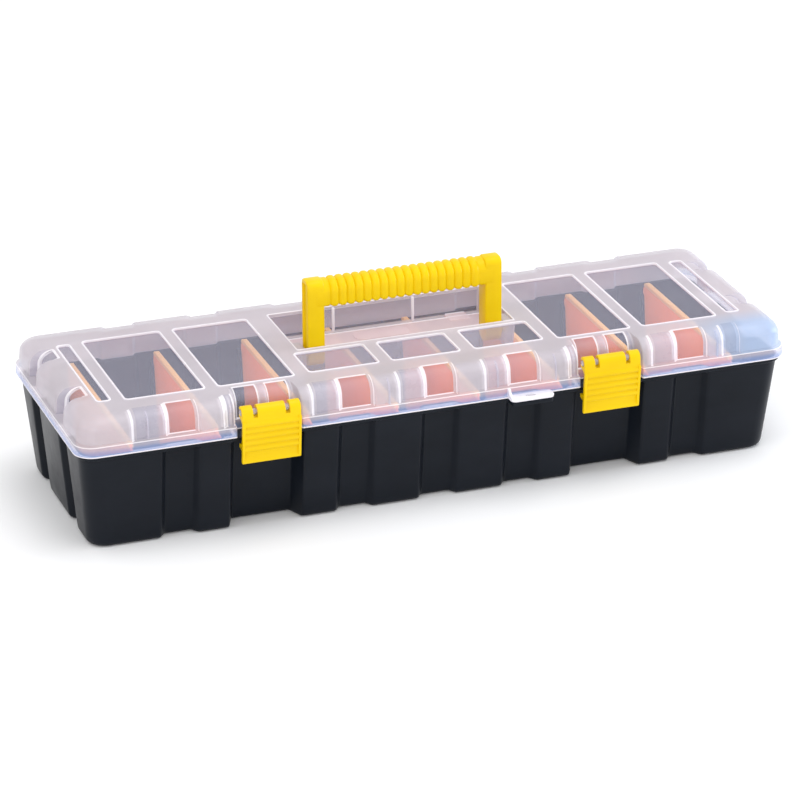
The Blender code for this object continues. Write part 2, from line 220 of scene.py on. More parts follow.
BAND_Z = (59.6, 65.6)
BAND_STOPS = ((0.0, (0.22, 0.36, 0.76)), (0.45, (0.36, 0.48, 0.82)), (0.8, (0.68, 0.65, 0.78)))


def flange_plastic(name, alpha):
    """The lid's lower band: clear blue-white plastic, deeper in colour towards its lower edge."""
    made, tree, shader = new_material(name)
    height = share_between(tree, object_axes(tree)["Z"], *BAND_Z)
    tree.links.new(ramp(tree, height, BAND_STOPS), shader.inputs["Base Color"])
    tree.links.new(spread(tree, noise(tree, 60.0, 4.0), 0.2, 0.32), shader.inputs["Roughness"])
    bump(tree, shader, ((noise(tree, 40.0, 2.0), 0.3, 0.15),))
    shader.inputs["Alpha"].default_value = alpha
    return made


# The bluish tint on the lid's right front corner is a painted reflection.
LID_REFLECTION_TINT = (0.46, 0.57, 0.78)
BLACK = moulded("tub black", (0.0046, 0.0064, 0.0104), (0.0076, 0.0100, 0.0156), 0.34,
                grain=3200.0, grain_mm=0.025, specular=0.15)
YELLOW = moulded("handle yellow", (0.79, 0.53, 0.0), (0.85, 0.59, 0.001), 0.36,
                 grain=2200.0, grain_mm=0.012, specular=0.18)
LATCH_YELLOW = moulded("latch yellow", (0.78, 0.51, 0.0), (0.84, 0.57, 0.001), 0.34,
                       grain=2200.0, grain_mm=0.010, specular=0.18)
# The dividers' weak emission is painted light, standing in for light that reaches them through the lid.
ORANGE = moulded("divider orange", (1.0, 0.25, 0.06), (1.0, 0.32, 0.10), 0.42,
                 grain=2000.0, grain_mm=0.02, painted_glow=0.27)
# The crown's lighter orange is a painted highlight: its top lit from above.
ORANGE_LIT_CROWN = moulded("divider crown painted highlight", (1.0, 0.50, 0.15), (1.0, 0.58, 0.20), 0.36,
                      grain=2000.0, grain_mm=0.015, painted_glow=0.2)
FROST = moulded("lid frosted", (0.58, 0.53, 0.58), (0.645, 0.595, 0.645), 0.38,
                grain=3000.0, grain_mm=0.03, alpha=0.61, reflection_tint=LID_REFLECTION_TINT)
HAZE = moulded("lid half clear", (0.56, 0.53, 0.62), (0.63, 0.60, 0.69), 0.28,
               grain=3000.0, grain_mm=0.02, alpha=0.50, reflection_tint=LID_REFLECTION_TINT)
CLEAR = moulded("lid clear", (0.52, 0.52, 0.67), (0.58, 0.58, 0.73), 0.16,
                grain=400.0, grain_mm=0.01, alpha=0.20)
# White plastic of thick edges seen edge-on, the lips and the padlock tab; on the lid's rounded steps and
# window borders its white lines are also painted highlights.
EDGE_AND_HIGHLIGHT = moulded("lid thick edge and painted highlight", (0.92, 0.88, 0.93), (0.97, 0.94, 0.98), 0.24,
               grain=1200.0, grain_mm=0.01, alpha=0.72)
ROSE = moulded("lid well floor", (0.72, 0.57, 0.60), (0.80, 0.66, 0.67), 0.36,
               grain=2600.0, grain_mm=0.02, alpha=0.62)
BAND = flange_plastic("lid band", 0.47)
# Painted shade: the lid's rear wall, seen in shade through the lid, darker and more opaque.
SHADE = moulded("lid rear wall painted shade", (0.43, 0.42, 0.48), (0.49, 0.48, 0.54), 0.40,
                grain=3000.0, grain_mm=0.02, alpha=0.86)
LID_MATERIALS = (FROST, HAZE, CLEAR, EDGE_AND_HIGHLIGHT, BAND, SHADE, ROSE)
ZONE = {"frost": 0, "haze": 1, "clear": 2, "edge": 3, "band": 4, "shade": 5, "rose": 6}


# ------------------------------------------------------------ mesh helpers

def as_object(name, work, materials, sharp=38.0):
    """A smooth-shaded object from a bmesh in millimetres, creased where faces meet sharply."""
    bmesh.ops.scale(work, vec=(MM, MM, MM), verts=work.verts)
    bmesh.ops.recalc_face_normals(work, faces=work.faces)
    mesh = bpy.data.meshes.new(name)
    work.to_mesh(mesh)
    work.free()
    made = bpy.data.objects.new(name, mesh)
    bpy.context.scene.collection.objects.link(made)
    for material in materials:
        mesh.materials.append(material)
    crease(made, sharp)
    return made


def crease(obj, sharp):
    work = bmesh.new()
    work.from_mesh(obj.data)
    limit = math.radians(sharp)
    for face in work.faces:
        face.smooth = True
    for edge in work.edges:
        edge.smooth = len(edge.link_faces) == 2 and edge.calc_face_angle(0.0) < limit
    work.to_mesh(obj.data)
    work.free()


def add_loft(work, loops, zone=0, zones=None, caps=(True, True)):
    """Quads between loops of equal length. zones(level, column) gives a face's material."""
    rows = [[work.verts.new(p) for p in loop] for loop in loops]
    count = len(loops[0])
    for level in range(len(rows) - 1):
        for i in range(count):
            j = (i + 1) % count
            face = work.faces.new((rows[level][i], rows[level][j], rows[level + 1][j], rows[level + 1][i]))
            face.material_index = zones(level, i) if zones else zone
    for wanted, row in zip(caps, (rows[0][::-1], rows[-1])):
        if wanted:
            face = work.faces.new(row)
            face.material_index = zone
    return rows


def rounded_box(work, low, high, radius, zone=0, steps=3):
    """A box with rounded upright corners and softened top and bottom edges."""
    soft = min(radius * 0.6, (high[2] - low[2]) * 0.35)
    loops = []
    for z, pull in ((low[2], soft), (low[2] + soft * 0.3, soft * 0.3), (low[2] + soft, 0.0),
                    (high[2] - soft, 0.0), (high[2] - soft * 0.3, soft * 0.3), (high[2], soft)):
        loops.append(rectangle(low[0] + pull, high[0] - pull, low[1] + pull, high[1] - pull, z,
                               max(radius - pull * 0.5, 0.15), steps))
    return add_loft(work, loops, zone)


def rectangle(x0, x1, y0, y1, z, radius, steps=4):
    points = []
    for cx, cy, start in ((x1 - radius, y0 + radius, -90), (x1 - radius, y1 - radius, 0),
                          (x0 + radius, y1 - radius, 90), (x0 + radius, y0 + radius, 180)):
        for i in range(steps + 1):
            turn = math.radians(start + 90.0 * i / steps)
            points.append((cx + radius * math.cos(turn), cy + radius * math.sin(turn), z))
    return points


def rounded_line(points, radius, steps=3):
    """Softens the corners of an open line of (x, depth) points. Gives (x, depth, segment) triples."""
    made = [(*points[0], 0)]
    for i in range(1, len(points) - 1):
        before, here, after = points[i - 1], points[i], points[i + 1]
        reach = min(radius, 0.45 * math.dist(before, here), 0.45 * math.dist(here, after))
        start = toward(here, before, reach)
        end = toward(here, after, reach)
        for k in range(steps + 1):
            t = k / steps
            x = (1 - t) ** 2 * start[0] + 2 * t * (1 - t) * here[0] + t * t * end[0]
            y = (1 - t) ** 2 * start[1] + 2 * t * (1 - t) * here[1] + t * t * end[1]
            made.append((x, y, i if k == steps else -i))
    made.append((*points[-1], len(points) - 1))
    return made


def toward(a, b, reach):
    length = max(math.dist(a, b), 1e-6)
    share = reach / length
    return (a[0] + (b[0] - a[0]) * share, a[1] + (b[1] - a[1]) * share)


def cut(target, cutters, sharp):
    """Cuts the cutters out of the target, removes them and creases the target again."""
    for cutter in cutters:
        step = target.modifiers.new("cut", "BOOLEAN")
        step.operation = "DIFFERENCE"
        step.solver = "EXACT"
        step.object = cutter
    bpy.context.view_layer.update()
    graph = bpy.context.evaluated_depsgraph_get()
    result = bpy.data.meshes.new_from_object(target.evaluated_get(graph))
    target.modifiers.clear()
    target.data = result
    for cutter in cutters:
        bpy.data.objects.remove(cutter, do_unlink=True)
    crease(target, sharp)


def cutter_box(low, high):
    work = bmesh.new()
    add_loft(work, [rectangle(low[0], high[0], low[1], high[1], z, 0.3, 1) for z in (low[2], high[2])])
    return as_object("cutter", work, ())


def arc(axis, radius, start, sweep, steps):
    """Points on a circle round a (y, z) axis: angles in degrees, both ends included."""
    points = []
    for i in range(steps + 1):
        turn = math.radians(start + sweep * i / steps)
        points.append((axis[0] + radius * math.cos(turn), axis[1] + radius * math.sin(turn)))
    return points


def rod(work, x0, x1, axis, radius, sides=24, zone=0, soft=0.25):
    """A rod along X round a (y, z) axis, with its ends slightly rounded."""
    loops = []
    for x, r in ((x0, radius - soft), (x0 + soft, radius), (x1 - soft, radius), (x1, radius - soft)):
        turns = [2 * math.pi * i / sides for i in range(sides)]
        loops.append([(x, axis[0] + r * math.cos(t), axis[1] + r * math.sin(t)) for t in turns])
    return add_loft(work, loops, zone)


def slab(work, x0, x1, profile, soft=0.3, zone=0):
    """A (y, z) outline carried along X, with its two ends slightly rounded."""
    loops = []
    for x, pull in ((x0, soft), (x0 + soft * 0.35, soft * 0.3), (x0 + soft, 0.0),
                    (x1 - soft, 0.0), (x1 - soft * 0.35, soft * 0.3), (x1, soft)):
        loops.append([(x, *pulled(profile, i, pull)) for i in range(len(profile))])
    return add_loft(work, loops, zone)


def pulled(profile, i, pull):
    """The outline's point i moved inward by pull along its own normal."""
    a, b, c = profile[i - 1], profile[i], profile[(i + 1) % len(profile)]
    way = Vector((c[0] - a[0], c[1] - a[1]))
    if way.length < 1e-9:
        return b
    way.normalize()
    turn = 1.0 if area(profile) > 0 else -1.0
    return (b[0] - turn * way.y * pull, b[1] + turn * way.x * pull)


def area(profile):
    return sum(a[0] * b[1] - b[0] * a[1] for a, b in zip(profile, profile[1:] + profile[:1])) / 2


# ------------------------------------------------------------ wall lines shared by the tub and the lid

def wall_loop(lines, half, z, depths, offset=0.0, wall=0.0, soft=1.0):
    """A closed line round the case at height z, and the (side, segment) tag of each of its steps.

    depths says how far in each kind of segment lies. offset moves the whole line in, and wall
    takes it on to the inner face of a wall of that thickness."""
    points, tags = [], []
    corner = max(CORNER_RADIUS - offset * 0.6 - wall, 1.2)
    cx, cy = half[0] - offset - wall - corner, half[1] - offset - wall - corner
    centres = {"front": (cx, -cy), "right": (cx, cy), "rear": (-cx, cy), "left": (-cx, -cy)}
    for side, start in (("front", -90), ("right", 0), ("rear", 90), ("left", 180)):
        nodes = [(x, depths[key]) for x, key in lines[side]]
        if wall:
            nodes = inner_line(nodes, wall)
        reach = cx if side in ("front", "rear") else cy
        nodes = [(-reach, nodes[0][1])] + nodes + [(reach, nodes[-1][1])]
        soft_nodes = rounded_line(nodes, soft)
        if side in ("rear", "left"):
            turned = soft_nodes[::-1]
            last = len(turned) - 1
            soft_nodes = [(x, depth, turned[min(k + 1, last)][2])
                          for k, (x, depth, _) in enumerate(turned)]
        for x, depth, tag in soft_nodes:
            inward = depth + offset + wall
            if side == "front":
                points.append((x, -half[1] + inward, z))
            elif side == "right":
                points.append((half[0] - inward, x, z))
            elif side == "rear":
                points.append((x, half[1] - inward, z))
            else:
                points.append((-half[0] + inward, x, z))
            tags.append((side, tag))
        centre = centres[side]
        for i in range(1, CORNER_STEPS):
            turn = math.radians(start + 90.0 * i / CORNER_STEPS)
            points.append((centre[0] + corner * math.cos(turn), centre[1] + corner * math.sin(turn), z))
            tags.append(("corner", 0))
    return points, tags


def inner_line(nodes, wall):
    """The line moved inward by the wall thickness, mitred at its corners."""
    made = []
    for i, (x, depth) in enumerate(nodes):
        before = nodes[i - 1] if i else (x - 1.0, depth)
        after = nodes[i + 1] if i + 1 < len(nodes) else (x + 1.0, depth)
        a = Vector((x - before[0], depth - before[1])).normalized()
        b = Vector((after[0] - x, after[1] - depth)).normalized()
        normal = Vector((-(a.y + b.y), a.x + b.x))
        normal.normalize()
        reach = wall / max(normal.dot(Vector((-a.y, a.x))), 0.45)
        made.append((x + normal.x * reach, depth + normal.y * reach - wall))
    return made


# Each side of the case as (place along the side, kind of segment). P is the plain face, and the
# other letters are recesses, whose depths are in TUB_DEPTHS and LID_DEPTHS.
LID_FRONT = (
    (-182.4, "P"), (-181.0, "L"), (-162.4, "L"), (-161.4, "W"), (-144.6, "W"), (-143.6, "P"),
    (-129.0, "P"), (-127.8, "M"), (-122.4, "M"), (-121.6, "B"), (-119.6, "B"), (-119.0, "V"),
    (-105.8, "V"), (-105.2, "B"), (-100.6, "B"), (-100.0, "V"), (-87.4, "V"), (-86.9, "B"),
    (-85.0, "B"), (-84.2, "P"),
    (-77.0, "P"), (-75.6, "L"), (-60.6, "L"), (-59.6, "W"), (-41.0, "W"), (-40.0, "P"),
    (-25.2, "P"), (-23.8, "L"), (-9.6, "L"), (-8.6, "W"), (9.0, "W"), (10.0, "P"),
    (26.8, "P"), (28.2, "L"), (41.2, "L"), (42.2, "W"), (60.0, "W"), (61.0, "P"),
    (78.0, "P"), (79.0, "M"), (84.4, "M"), (85.2, "B"), (86.6, "B"), (87.2, "V"),
    (100.2, "V"), (100.8, "B"), (105.8, "B"), (106.4, "V"), (119.0, "V"), (119.6, "B"),
    (122.4, "B"), (123.2, "P"),
    (129.6, "P"), (131.0, "L"), (144.8, "L"), (145.8, "W"), (163.8, "W"), (164.8, "P"),
    (174.0, "P"), (175.4, "L"), (184.2, "L"), (185.6, "P"))
LID_REAR = (
    (-162.5, "P"), (-161.0, "W"), (-144.0, "W"), (-142.5, "P"), (-110.5, "P"), (-109.0, "W"),
    (-93.0, "W"), (-91.5, "P"), (-59.0, "P"), (-57.5, "W"), (57.5, "W"), (59.0, "P"),
    (91.5, "P"), (93.0, "W"), (109.0, "W"), (110.5, "P"), (142.5, "P"), (144.0, "W"),
    (161.0, "W"), (162.5, "P"))
LID_END = (
    (-34.5, "P"), (-33.4, "E"), (-19.0, "E"), (-17.8, "P"),
    (23.8, "P"), (25.0, "E"), (39.4, "E"), (40.6, "P"))
LID_LINES = {"front": LID_FRONT, "rear": LID_REAR, "right": LID_END, "left": LID_END}
TUB_FRONT = (
    (-166.0, "P"), (-162.6, "F"), (-146.8, "F"), (-143.4, "P"), (-125.6, "P"), (-121.0, "B"),
    (-86.4, "B"), (-81.8, "P"), (-61.8, "P"), (-58.4, "F"), (-42.6, "F"), (-39.2, "P"),
    (-11.8, "P"), (-8.4, "F"), (8.4, "F"), (11.8, "P"), (39.2, "P"), (42.6, "F"),
    (58.4, "F"), (61.8, "P"), (81.8, "P"), (86.4, "B"), (121.0, "B"), (125.6, "P"),
    (143.4, "P"), (146.8, "F"), (162.6, "F"), (166.0, "P"))
TUB_REAR = (
    (-163.8, "P"), (-160.4, "F"), (-144.6, "F"), (-141.2, "P"), (-111.3, "P"), (-107.9, "F"),
    (-94.1, "F"), (-90.7, "P"), (-59.8, "P"), (-56.4, "F"), (-42.6, "F"), (-39.2, "P"),
    (-11.8, "P"), (-8.4, "F"), (8.4, "F"), (11.8, "P"), (39.2, "P"), (42.6, "F"),
    (56.4, "F"), (59.8, "P"), (90.7, "P"), (94.1, "F"), (107.9, "F"), (111.3, "P"),
    (141.2, "P"), (144.6, "F"), (160.4, "F"), (163.8, "P"))
TUB_END = (
    (-34.8, "P"), (-31.2, "F"), (-20.8, "F"), (-17.2, "P"),
    (23.2, "P"), (26.8, "F"), (37.2, "F"), (40.8, "P"))
TUB_LINES = {"front": TUB_FRONT, "rear": TUB_REAR, "right": TUB_END, "left": TUB_END}


# ------------------------------------------------------------ tub

TUB_DEPTHS = {"P": 0.0, "F": 4.6, "B": 11.0}
NO_DEPTHS = {"P": 0.0, "F": 0.0, "B": 0.0}
# Heights up the outside with the line's inward offset, the rim's heights with its half sizes, and
# heights down the inside with the inward offset.
TUB_OUTSIDE = ((0.0, 3.0), (0.25, 2.0), (0.8, 1.1), (1.7, 0.45), (3.0, 0.1), (6.0, 0.0), (30.0, 0.0),
               (55.6, 0.0))
TUB_RIM = ((56.6, (212.1, 69.7)), (57.2, (213.2, 70.6)), (57.7, (213.5, 70.9)),
           (58.7, (213.5, 70.9)), (59.0, (213.1, 70.5)))
TUB_INSIDE = ((59.0, 0.0), (55.0, 0.0), (30.0, 0.0), (7.0, 0.0), (4.6, 0.4), (3.4, 1.2), (2.6, 2.6))
# The (y, z) outline of the lugs that carry the hinge bar.
HINGE_LUG = [(70.6, 52.0), (74.0, 55.4), (77.4, 57.0), (77.9, 60.4), (76.4, 61.6), (74.0, 61.4),
             (72.6, 58.8), (70.6, 58.6)]


def tub_line(z, offset=0.0, wall=0.0, depths=TUB_DEPTHS, half=None):
    """The tub's line at height z. Without a half size it follows the draft of the walls."""
    low = 1.0 - min(z, RIM_BOTTOM) / RIM_BOTTOM
    half = half or (TUB_HALF[0] - TUB_DRAFT[0] * low, TUB_HALF[1] - TUB_DRAFT[1] * low)
    return wall_loop(TUB_LINES, half, z, depths, offset, wall, 1.3)[0]


def add_guides(work, x):
    """The four upright ribs that hold one divider, two on each long wall."""
    for side in (-1, 1):
        for way in (-1, 1):
            near, far = x + way * 1.4, x + way * 3.0
            low, high = min(near, far), max(near, far)
            loops = []
            for z, pull in ((2.2, 0.0), (52.6, 0.0), (54.0, 0.9)):
                draft = TUB_DRAFT[1] * (1 - z / RIM_BOTTOM)
                a = side * (63.4 - draft + pull)
                b = side * (68.4 - draft)
                loops.append([(low, a, z), (high, a, z), (high, b, z), (low, b, z)])
            add_loft(work, loops)


def make_tub():
    """The tub's shell, the divider guides, the padlock lip and the two hinge bars."""
    work = bmesh.new()
    loops = [tub_line(z, offset) for z, offset in TUB_OUTSIDE]
    loops += [tub_line(z, depths=NO_DEPTHS, half=half) for z, half in TUB_RIM]
    loops += [tub_line(z, offset, TUB_WALL) for z, offset in TUB_INSIDE]
    add_loft(work, loops)
    for x in DIVIDER_X:
        add_guides(work, x)
    rounded_box(work, (39.8, -79.2, 56.6), (65.2, -69.8, 59.0), 2.0)
    for side in (-1, 1):
        for x in (111.5, 126.5, 141.5):
            slab(work, side * x - 1.4, side * x + 1.4, HINGE_LUG)
        rod(work, side * 126.5 - 16.0, side * 126.5 + 16.0, HINGE_AXIS, 2.0)
    tub = as_object("tub_shell", work, (BLACK,), 34.0)
    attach(tub, "case")
    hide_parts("tub")


# ------------------------------------------------------------ dividers

# Dividers this far from the middle stand beside a latch bay, and stop short of it in front.
LATCH_BAYS = (70.0, 135.0)
# The height where a plate stops under its crown, and the one above which the outline is crown.
PLATE_TOP = 61.1
CROWN_FROM = 58.9


def divider_line(x):
    """The (y, z) outline: tapered foot, full depth at the rim, shoulders that clear the lid."""
    reach, foot, crown, top, shoulder = 66.9, 6.7, 63.5, 61.75, 2.6
    nose = 56.3 if LATCH_BAYS[0] < abs(x) < LATCH_BAYS[1] else 63.1
    points = [(foot - reach, 7.2), (foot - reach + 1.0, 4.4), (foot - reach + 3.0, 3.4),
              (reach - foot - 3.0, 3.4), (reach - foot - 1.0, 4.4), (reach - foot, 7.2),
              (reach - 0.5, 54.0), (reach - 0.9, 57.2), (crown, 58.8)]
    for way, edge in ((1, crown), (-1, -nose)):
        turns = [math.radians(t) for t in (0, 22, 45, 68, 90)]
        rounded = [(edge - way * shoulder * (1 - math.cos(t)), top - shoulder + shoulder * math.sin(t))
                   for t in turns]
        points += rounded[::way]
    return points + [(-nose, 58.8), (0.9 - reach, 57.2), (0.5 - reach, 54.0)]


def make_divider(index, x):
    """A thin plate with a thicker bead along its crown, whose lighter orange is a painted highlight of its
    lit top.
    """
    work = bmesh.new()
    line = divider_line(x)
    slab(work, x - 0.75, x + 0.75, [(y, min(z, PLATE_TOP)) for y, z in line], 0.2)
    plate = as_object(f"divider_{index}_plate", work, (ORANGE,), 30.0)
    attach(plate, "case")
    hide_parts(f"divider_{index}")
    depth = 2.6
    top = [p for p in line if p[1] > CROWN_FROM]
    inner = [pulled(line, line.index(p), depth) for p in top]
    inner[0] = (top[0][0] - depth, top[0][1])
    inner[-1] = (top[-1][0] + depth, top[-1][1])
    work = bmesh.new()
    slab(work, x - 1.5, x + 1.5, top + inner[::-1], 0.2)
    bead = as_object(f"divider_{index}_crown", work, (ORANGE_LIT_CROWN,), 30.0)
    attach(bead, "case")


# ------------------------------------------------------------ lid

LID_DEPTHS = {"P": 0.0, "L": 1.7, "M": 1.9, "W": 3.2, "B": 10.4, "V": 11.1, "E": 6.2}
FLANGE_DEPTHS = {"P": 0.0, "L": 0.0, "M": 0.0, "W": 0.0, "B": 12.0, "V": 12.0, "E": 0.0}
# Heights up the flange with how much it grows there.
FLANGE_LEVELS = ((LID_BOTTOM, -0.5), (LID_BOTTOM + 0.35, 0.0), (LID_BOTTOM + 0.95, 0.0),
                 (64.6, 0.0), (65.5, -0.05), (65.9, -0.45))
# How many of the inner rear wall's lower rows of faces are in the darker, more opaque material, a painted
# shade.
SHADE_LEVELS = 6
# The steps in the front wall that show as a bright line, as the two kinds of segment they join.
BRIGHT_STEPS = (("L", "W"), ("W", "P"), ("B", "V"), ("V", "B"), ("L", "P"))


def lid_wall(z, offset=0.0, wall=0.0):
    """The line of the lid's wall at height z, with its tags."""
    return wall_loop(LID_LINES, LID_HALF, z, LID_DEPTHS, offset, wall)


def flange_line(z, grow=0.0):
    """The line of the lid's lower band at height z."""
    half = (FLANGE_HALF[0] + grow, FLANGE_HALF[1] + grow)
    return wall_loop(LID_LINES, half, z, FLANGE_DEPTHS)[0]


def lid_zone(side, tag, at_end):
    """The kind of plastic a step of the wall is made of. A negative tag is a rounded corner.

    at_end is true for the wall's lowest and highest row of faces. The white edge on some rounded corners
    and on the windows' end rows is a painted highlight."""
    if side == "corner":
        return "frost"
    if side == "right":
        return "haze" if tag < 0 else "frost"

    def key(k):
        return LID_LINES[side][k][1] if 0 <= k < len(LID_LINES[side]) else "P"

    if tag < 0:
        k = -tag - 1
        before, here, after = key(k - 1), key(k), key(k + 1)
        if side != "front":
            return "edge" if here == "E" else "frost"
        # These rounded corners are white as a painted highlight, where the rounding of a step catches the
        # light.
        painted_highlight_arc = (here in ("P", "M") and after in ("L", "M", "B")) or (here == "L" and after == "W")
        return "edge" if painted_highlight_arc or here == "V" or (here == "W" and before == "L") else "frost"
    a, b = key(tag - 1), key(tag)
    if a == b:
        # On the windows the lowest and highest rows are white lines, painted highlights of their borders.
        if a in ("V", "E") or (a == "W" and side == "front"):
            return "edge" if at_end else "clear"
        return "haze" if a in ("L", "B", "M") else "frost"
    if side != "front":
        return "haze"
    return "edge" if (a, b) in BRIGHT_STEPS else "frost"


def round_lines(wall):
    """The lines of the lid's upper round, from the wall to the top, for its outer or inner face."""
    lines = []
    for step in range(1, ROUND_STEPS + 1):
        turn = math.radians(90.0 * step / ROUND_STEPS)
        z = ROUND_FROM + (LID_TOP - ROUND_FROM) * math.sin(turn) - wall * math.sin(turn)
        inward = ROUND_REACH * (1 - math.cos(turn)) + LID_DRAFT
        lines.append(lid_wall(z, inward, wall)[0])
    return lines


def make_lid():
    """The lid's shell: the flange, the recessed wall, the round and the top with its openings."""
    work = bmesh.new()
    outer = [flange_line(z, grow) for z, grow in FLANGE_LEVELS]
    flange_last = len(outer) - 1
    first, tags = lid_wall(FLANGE_TOP + 0.05, -0.7)
    outer += [first, lid_wall(66.5, -0.1)[0], lid_wall(DRAFT_FROM)[0]]
    outer += [lid_wall(ROUND_FROM, LID_DRAFT)[0]] + round_lines(0.0)
    top_level = len(outer) - 2

    def outer_zone(level, column):
        side, tag = tags[column]
        if level < flange_last:
            if side == "rear":
                return ZONE["haze"]
            return ZONE["edge"] if level in (0, 1, flange_last - 1) else ZONE["band"]
        if level == flange_last:
            return ZONE["frost"]
        return ZONE[lid_zone(side, tag, level in (flange_last + 1, top_level))]

    rows = add_loft(work, outer, 0, outer_zone, caps=(False, True))
    inner = [lid_wall(LID_BOTTOM, 0.0, LID_WALL)[0], lid_wall(FLANGE_TOP, 0.0, LID_WALL)[0],
             lid_wall(ROUND_FROM, LID_DRAFT, LID_WALL)[0]] + round_lines(LID_WALL)

    def inner_zone(level, column):
        side, tag = tags[column]
        if side == "rear" and level < SHADE_LEVELS:
            return ZONE["shade"]
        if level == 0:
            return ZONE["clear"]
        return ZONE[lid_zone(side, tag, False)]

    under = add_loft(work, inner, 0, inner_zone, caps=(False, True))
    join(work, rows[0], under[0], ZONE["edge"])
    lid = as_object("lid_shell", work, LID_MATERIALS, 32.0)
    cutters = []
    for x0, x1, y0, y1 in PANES:
        hole = bmesh.new()
        add_loft(hole, [rectangle(x0, x1, y0, y1, z, PANE_RADIUS, 4) for z in (76.0, 84.0)])
        cutters.append(as_object("pane hole", hole, ()))
    cutters.append(cutter_box((WELL[0], WELL[2], 76.0), (WELL[1], WELL[3], 84.0)))
    cut(lid, cutters, 32.0)
    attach(lid, "lid")
    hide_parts("lid")


# The windows and the well as (x0, x1, y0, y1).
PANES = ((-179.6, -133.2, -46.4, 44.6), (-125.2, -80.2, -46.4, 44.6), (80.2, 125.2, -46.4, 44.6),
         (133.2, 179.6, -46.4, 44.6), (-70.6, -28.8, -44.8, -15.4), (-20.6, 20.6, -44.8, -15.8),
         (29.6, 71.4, -44.8, -15.4), (-195.2, -187.6, -44.0, 43.0), (187.6, 195.2, -44.0, 43.0))
PANE_RADIUS = 2.2
WELL = (-67.0, 67.0, -11.6, 46.6)
# The lip round a window, as (how far outside it, height).
LIP = ((-0.35, 80.4), (-0.4, 81.3), (-0.2, 81.6), (0.15, 81.7), (0.55, 81.6), (0.8, 81.25),
       (0.8, 80.7), (0.0, 80.3))


def make_panes():
    """Clear windows sunk a little into the top, and the raised lip round each."""
    panes, lips = bmesh.new(), bmesh.new()
    gap = 0.05
    for x0, x1, y0, y1 in PANES:
        add_loft(panes, [rectangle(x0 + gap, x1 - gap, y0 + gap, y1 - gap, z, 2.15, 4)
                         for z in (79.7, 80.5)])
        ring(lips, [rectangle(x0 - grow, x1 + grow, y0 - grow, y1 + grow, z,
                              PANE_RADIUS + grow * 0.8, 5) for grow, z in LIP])
    pane = as_object("lid_panes", panes, (CLEAR,), 30.0)
    lip = as_object("lid_pane_lips", lips, (EDGE_AND_HIGHLIGHT,), 50.0)
    for made in (pane, lip):
        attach(made, "lid")


def join(work, low, high, zone):
    """Quads between two rows of vertices."""
    count = len(low)
    for i in range(count):
        j = (i + 1) % count
        work.faces.new((low[i], low[j], high[j], high[i])).material_index = zone


def ring(work, loops):
    """A closed tube: the loops in order, the last joined to the first."""
    rows = [[work.verts.new(p) for p in loop] for loop in loops]
    for level, row in enumerate(rows):
        join(work, row, rows[(level + 1) % len(rows)], 0)


# The well's inside from its lip down and its outside up, as (height, how far inside WELL).
WELL_INSIDE = ((80.6, -0.4), (81.5, -0.1), (81.7, 0.3), (81.4, 0.8), (80.4, 1.0), (66.6, 1.5),
               (65.9, 1.9), (65.6, 2.8))
WELL_OUTSIDE = ((64.2, 1.8), (64.6, 0.8), (65.6, 0.3), (79.0, -0.5))
# The columns of a well loop that are its two long walls.
LONG_WALLS = (7, 15)


def make_well():
    """The tray that the handle folds into, and the pieces on its walls and floor."""
    work = bmesh.new()
    x0, x1, y0, y1 = WELL
    inside = [rectangle(x0 + pull, x1 - pull, y0 + pull, y1 - pull, z, 1.2, 3)
              for z, pull in WELL_INSIDE]
    outside = [rectangle(x0 + pull, x1 - pull, y0 + pull, y1 - pull, z, 1.6, 3)
               for z, pull in WELL_OUTSIDE]
    frost, clear, edge, rose = ZONE["frost"], ZONE["clear"], ZONE["edge"], ZONE["rose"]

    def inside_zone(level, column):
        if level < 3:
            return edge
        return clear if column in LONG_WALLS and level == 4 else frost

    def outside_zone(level, column):
        return clear if column in LONG_WALLS and level == 2 else frost

    rows = add_loft(work, inside, clear, inside_zone, caps=(False, True))
    under = add_loft(work, outside, clear, outside_zone, caps=(True, False))
    join(work, rows[0], under[-1], edge)
    tray = as_object("lid_well", work, LID_MATERIALS, 32.0)
    details = bmesh.new()
    for x in (-26.0, 23.8):
        rounded_box(details, (x - 0.8, y1 - 2.4, 65.7), (x + 0.8, y1 - 0.6, 80.8), 0.5, edge)
    rounded_box(details, (43.5, 34.0, 65.3), (56.5, y1 - 1.9, 66.9), 0.7, rose)
    rounded_box(details, (44.0, y1 - 2.7, 66.6), (56.0, y1 - 2.0, 67.3), 0.3, edge)
    rounded_box(details, (x0 + 1.8, 21.6, 65.4), (x1 - 1.8, y1 - 6.4, 66.5), 0.7, rose)
    rounded_box(details, (x0 + 2.2, y1 - 7.2, 66.2), (x1 - 2.2, y1 - 6.5, 67.0), 0.3, edge)
    rounded_box(details, (-18.0, 24.0, 66.3), (16.0, y1 - 9.6, 66.9), 5.0, rose, 5)
    for low, high in ((-66.6, -60.9), (60.9, 66.6)):
        rounded_box(details, (low, -10.6, 65.2), (high, 2.6, 80.4), 1.0, frost)
    bits = as_object("lid_well_details", details, LID_MATERIALS, 40.0)
    for made in (tray, bits):
        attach(made, "lid")


def front_profile(depth, low, high, out):
    """Points up the lid's front face, depth further in and out further forward."""
    points = []
    steps = 14
    for i in range(steps + 1):
        z = low + (high - low) * i / steps
        if z <= ROUND_FROM:
            inward = LID_DRAFT * (z - DRAFT_FROM) / DRAFT_HEIGHT if z > DRAFT_FROM else 0.0
        else:
            turn = math.asin(min((z - ROUND_FROM) / (LID_TOP - ROUND_FROM), 1.0))
            inward = ROUND_REACH * (1 - math.cos(turn)) + LID_DRAFT
        points.append((-LID_HALF[1] + inward + depth - out, z))
    return points


